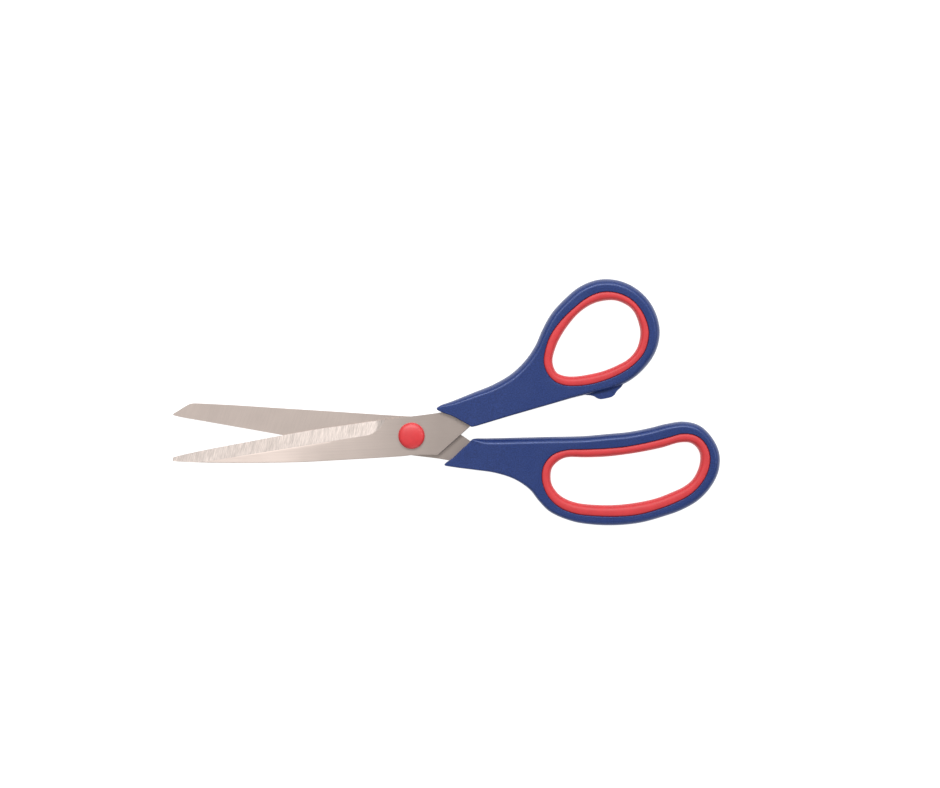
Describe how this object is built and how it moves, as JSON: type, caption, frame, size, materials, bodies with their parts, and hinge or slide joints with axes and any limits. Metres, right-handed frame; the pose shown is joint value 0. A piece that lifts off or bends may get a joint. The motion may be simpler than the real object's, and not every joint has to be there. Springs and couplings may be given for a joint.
{
  "type": "office scissors",
  "caption": "Office scissors, partly open: two ground steel blades on a capped pivot, moulded plastic handles with a small thumb loop and a long finger loop, each with a soft liner.",
  "frame": {"origin": "centre of the bottom of the box round the scissors in the rest pose", "axes": "+X from the blade tips to the loops, +Y from the finger loop to the thumb loop, +Z out of the front face, where the cap is"},
  "size_m": [0.2145, 0.0964, 0.01],
  "materials": {
    "blade_steel": "fine ground, satin",
    "handle_plastic": "fine textured dark blue",
    "grip_rubber": "smooth satin red",
    "rivet_steel": "turned",
    "cap_plastic": "glossy red"
  },
  "bodies": {
    "finger_half": {"rear_blade": "blade_steel", "finger_handle": "handle_plastic", "finger_grip": "grip_rubber", "pivot_rivet": "rivet_steel", "pivot_washer": "rivet_steel", "front_cap": "cap_plastic"},
    "thumb_half": {"front_blade": "blade_steel", "thumb_handle": "handle_plastic", "thumb_grip": "grip_rubber"}
  },
  "joints": [
    {"name": "pivot", "type": "hinge", "parent": "finger_half", "child": "thumb_half", "pos_m": [-0.01364, -0.01313, 0.005], "axis": [0, 0, 1], "range_deg": [-10.5, 95]}
  ]
}
